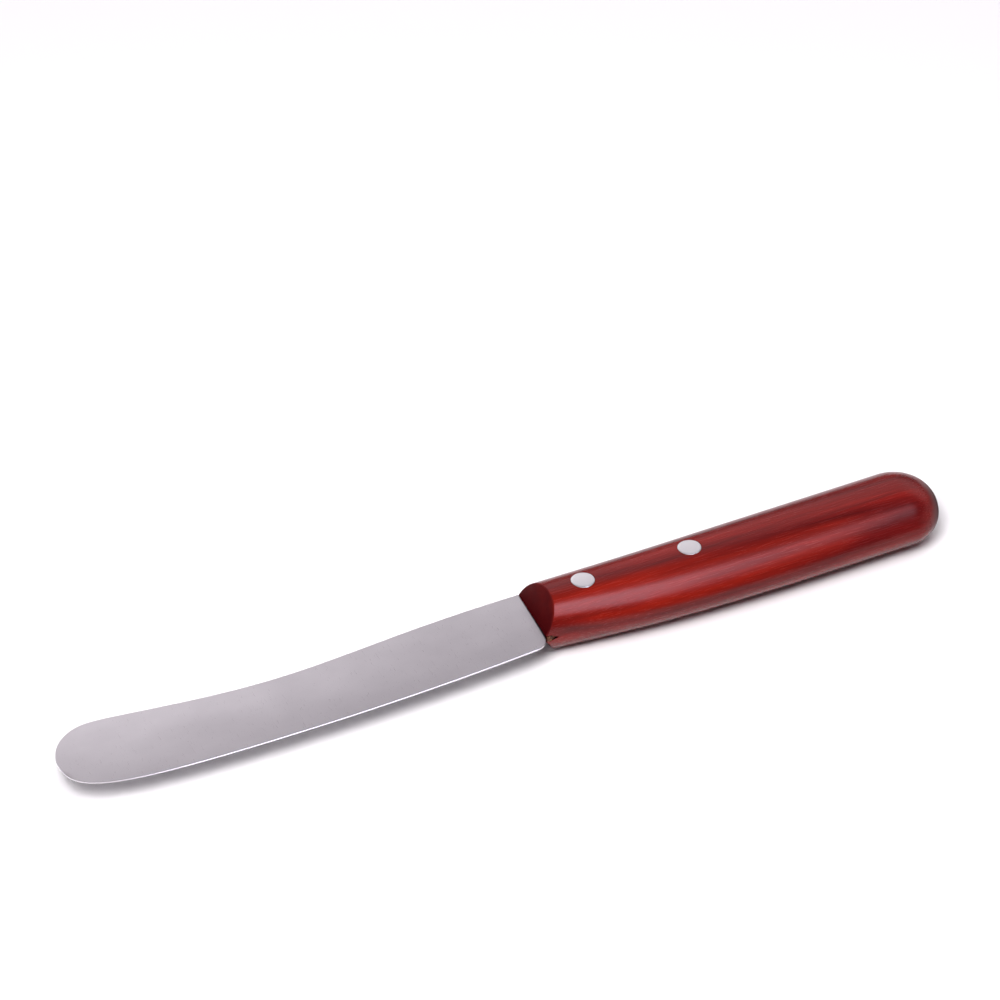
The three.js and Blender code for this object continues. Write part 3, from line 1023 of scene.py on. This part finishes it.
def seat_head_on_wood(bm):
    """Rounds the head's face a third as much as the wood, so its rim stands a hair proud."""
    for vert in bm.verts:
        if vert.co.z > SHOULDER + HEAD_DEPTH / 2:
            vert.co.z -= FOLLOW_WOOD * wood_drop(vert.co.x - BLADE_LENGTH, vert.co.y)


def head_profile():
    """Half the head's section, from its shoulder over the worn corner to the middle."""
    flat = HEAD_RADIUS - HEAD_CORNER
    wall = HANDLE_HALF - HEAD_CORNER
    turns = [math.pi / 2 * step / CORNER_STEPS for step in range(CORNER_STEPS)]
    rim = [
        (flat + HEAD_CORNER * math.cos(turn), wall + HEAD_CORNER * math.sin(turn))
        for turn in turns
    ]
    face = [(flat * (HEAD_RINGS - i) / HEAD_RINGS, HANDLE_HALF) for i in range(HEAD_RINGS + 1)]
    return [(HEAD_RADIUS, SHOULDER), *rim, *face]


def rivet_sleeve(centre_x):
    foot = -SHOULDER + SHOULDER_CLEARANCE
    bm = turned([
        (0, SHOULDER), (BORE_RADIUS, SHOULDER), (BORE_RADIUS, foot),
        (SLEEVE_RADIUS, foot), (SLEEVE_RADIUS, SHOULDER), *head_profile(),
    ], centre_x)
    seat_head_on_wood(bm)
    return to_mesh(bm)


def rivet_pin(centre_x):
    end = -SHOULDER + SHOULDER_CLEARANCE
    bm = turned([(0, end), (PIN_RADIUS, end), (PIN_RADIUS, SHOULDER), *head_profile()], centre_x)
    seat_head_on_wood(bm)
    bmesh.ops.scale(bm, vec=(1, 1, -1), verts=bm.verts)
    return to_mesh(bm)


for place, centre_x in (("front", FRONT_RIVET_X), ("rear", REAR_RIVET_X)):
    for half, make in (("sleeve", rivet_sleeve), ("pin", rivet_pin)):
        name = f"{place}_rivet_{half}"
        lay_on_knife(f"{name}_ground", make(centre_x), name, rivet_finish)

# %% [markdown]
# ## Filler in the slit
# The end of the saw slot shows as a slit at the handle's front, and a dab of wood filler closes
# most of it. Filler shrinks and crumbles as it dries, so it starts as a rounded block and noise
# pushes its skin about. Blender's noise directions change from run to run unless they get a seed,
# so they get one.

# %% Dried filler finish
FILLER_GRIT = (5, 5, 5)
FILLER_TONES = ((0.45, (0.02, 0.004, 0.003)), (0.58, (0.2, 0.07, 0.025)))
FILLER_ROUGHNESS = 0.85


def dried_filler():
    material, shader = new_material("dried_filler")
    shader.inputs["Roughness"].default_value = FILLER_ROUGHNESS
    grit = noise_on(material, FILLER_GRIT, detail=4.0)
    tone = colour_ramp(material, grit, "Fac", FILLER_TONES)
    link(material, tone, "Color", shader, "Base Color")
    return material


filler_finish = dried_filler()
print("made", filler_finish.name)

# %% Filler bead
FILLER_SEED = 7
FILLER_CUTS = 15
FILLER_ROUNDS = 3
FILLER_EASE = 0.5
FILLER_LUMP = 0.14
LUMP_FINENESS = 2.6
CRUMB_FINENESS = 6
CRUMB_SHARE = 0.4
FILLER_SINK = 0.4
SINK_STARTS = 1
SINK_FULL = 1.8


def filler_bead():
    """A lumpy bead a little smaller than its box, sunk towards its rear."""
    low, high = to_bench @ filler_low, to_bench @ filler_high
    bm = bmesh.new()
    bmesh.ops.create_cube(bm, size=1)
    bmesh.ops.subdivide_edges(bm, edges=bm.edges, cuts=FILLER_CUTS, use_grid_fill=True)
    for _ in range(FILLER_ROUNDS):
        bmesh.ops.smooth_vert(
            bm, verts=bm.verts, factor=FILLER_EASE,
            use_axis_x=True, use_axis_y=True, use_axis_z=True,
        )
    bmesh.ops.scale(bm, vec=(high - low) - Vector((2, 2, 2)) * FILLER_LUMP, verts=bm.verts)
    bmesh.ops.translate(bm, vec=(low + high) / 2, verts=bm.verts)
    for vert in bm.verts:
        sink = FILLER_SINK * smooth_step(vert.co.x, low.x + SINK_STARTS, low.x + SINK_FULL)
        lumps = noise.noise_vector(vert.co * LUMP_FINENESS)
        crumbs = noise.noise_vector(vert.co * CRUMB_FINENESS)
        vert.co += (lumps + crumbs * CRUMB_SHARE) * FILLER_LUMP + Vector((0, sink, 0))
    return to_mesh(bm)


noise.seed_set(FILLER_SEED)
lay_on_knife("filler_bead", filler_bead(), "slot_filler", filler_finish)

# %% [markdown]
# ## Table and light
# The knife lies on a plain white table under a large soft light from above and a smaller one at
# the near left, which draws the soft shadows, and a pale panel behind it lights the far table.
# Steel would mirror lamps as burnt-out patches. In a studio, cards are hung for that, so here the
# lamps are hidden from mirror rays, while cards that only mirror rays see take their place: for
# the handle's sheen a bright one over its front and a dimmer one over its butt, a dim one over
# the blade, and dim ones round the sides. Two cards side by side in the panel's place shade the
# blade from a paler tip to a darker heel. The near side stays dark, so the handle's side keeps
# its depth of colour.

# %% Table
TABLE_SIZE = 6.0
TABLE_WHITE = (0.86, 0.86, 0.86)
TABLE_ROUGHNESS = 0.9
TABLE_GLOSS = 0.1


def pale_table():
    bm = bmesh.new()
    bmesh.ops.create_grid(bm, x_segments=1, y_segments=1, size=TABLE_SIZE / 2)
    table_mesh = to_mesh(bm, "table")
    material, shader = new_material("white_table")
    shader.inputs["Base Color"].default_value = (*TABLE_WHITE, 1)
    shader.inputs["Roughness"].default_value = TABLE_ROUGHNESS
    shader.inputs["Specular IOR Level"].default_value = TABLE_GLOSS
    table_mesh.materials.append(material)
    table = bpy.data.objects.new("table", table_mesh)
    bpy.context.scene.collection.objects.link(table)
    return table


print(pale_table().name, "is", TABLE_SIZE, "m wide")

# %% Light
LAMP_TINT = (1.0, 0.97, 1.0)
PANEL_TINT = (1.0, 0.955, 0.99)
PANEL = Vector((0.526, 1.079, 0.765))
PANEL_HEIGHT = 0.74
PANEL_LENGTH = 3.0
CEILING = 0.96


def soft_light(name, place, size, power, tint, facing=None):
    """A lamp that no mirror ray sees, facing the origin or against a given direction."""
    data = bpy.data.lights.new(name, "AREA")
    data.shape = "RECTANGLE"
    data.size, data.size_y = size
    data.energy = power
    data.color = tint
    lamp = bpy.data.objects.new(name, data)
    lamp.location = place
    lamp.rotation_euler = Vector(facing or place).to_track_quat("Z", "Y").to_euler()
    lamp.visible_glossy = False
    bpy.context.scene.collection.objects.link(lamp)
    print(name, "at", [round(v, 3) for v in place])
    return lamp


soft_light("overhead", (0.0, -0.26, CEILING), size=(0.95, 0.82), power=8.2, tint=LAMP_TINT)
soft_light("near_left", (-0.42, -0.42, 0.8), size=(0.4, 0.4), power=9.0, tint=LAMP_TINT)
soft_light("behind", PANEL, size=(PANEL_LENGTH, PANEL_HEIGHT), power=6.75, tint=PANEL_TINT)

# %% Cards to mirror
TIP_GLOW = 3.9
HEEL_GLOW = 2.2
TIP_CARD_END = -0.125
IN_FRONT = 0.97
UP = (0, 0, 1)


def mirror_card(name, place, size, glow, tint=LAMP_TINT, facing=None):
    """A card that only mirror rays see, with so many watts to the square metre."""
    card = soft_light(name, place, size, glow * size[0] * size[1], tint, facing)
    card.visible_glossy = True
    card.visible_diffuse = False


def panel_card(name, start, end, glow):
    """A card just in front of the panel, between two distances along it from its middle."""
    along = PANEL.cross(UP).normalized()
    place = PANEL * IN_FRONT + along * (start + end) / 2
    mirror_card(name, place, (end - start, PANEL_HEIGHT), glow, PANEL_TINT, PANEL)


panel_card("tip_card", -PANEL_LENGTH / 2, TIP_CARD_END, TIP_GLOW)
panel_card("heel_card", TIP_CARD_END, PANEL_LENGTH / 2, HEEL_GLOW)

# %% Cards over the knife and beside it
SHEEN_TINT = (1.0, 0.98, 1.2)
SHEEN_GLOW = 18.5
BUTT_SHEEN_GLOW = 3.6
STEEL_GLOW = 2.2
SIDE_GLOW = 1.4
SIDE_SIZE = (1.5, 0.7)
SIDE_HEIGHT = 0.32

for name, place, size, glow in (
    ("sheen_card", (0.28, -0.57, CEILING), (0.3, 1.0), SHEEN_GLOW),
    ("butt_sheen_card", (0.59, -0.34, CEILING), (0.32, 0.52), BUTT_SHEEN_GLOW),
):
    mirror_card(name, place, size, glow, SHEEN_TINT, UP)
mirror_card("steel_card", (-0.2, -0.3, CEILING), (0.8, 1.3), STEEL_GLOW)
mirror_card("right_card", (1.22, -0.44, SIDE_HEIGHT), SIDE_SIZE, SIDE_GLOW)
mirror_card("left_card", (-1.05, -0.75, SIDE_HEIGHT), SIDE_SIZE, SIDE_GLOW)
mirror_card("far_left_card", (-1.2, 0.5, SIDE_HEIGHT), SIDE_SIZE, SIDE_GLOW)

# %% Light in the air
AIR_TINT = (1.0, 0.82, 0.98)
AIR_GLOW = 0.1

world = bpy.data.worlds.new("studio")
world.use_nodes = True
air = world.node_tree.nodes["Background"]
air.inputs["Color"].default_value = (*AIR_TINT, 1)
air.inputs["Strength"].default_value = AIR_GLOW
bpy.context.scene.world = world
bpy.context.scene.view_settings.view_transform = "Standard"
print("lit by", len(bpy.data.lights), "lamps and cards")
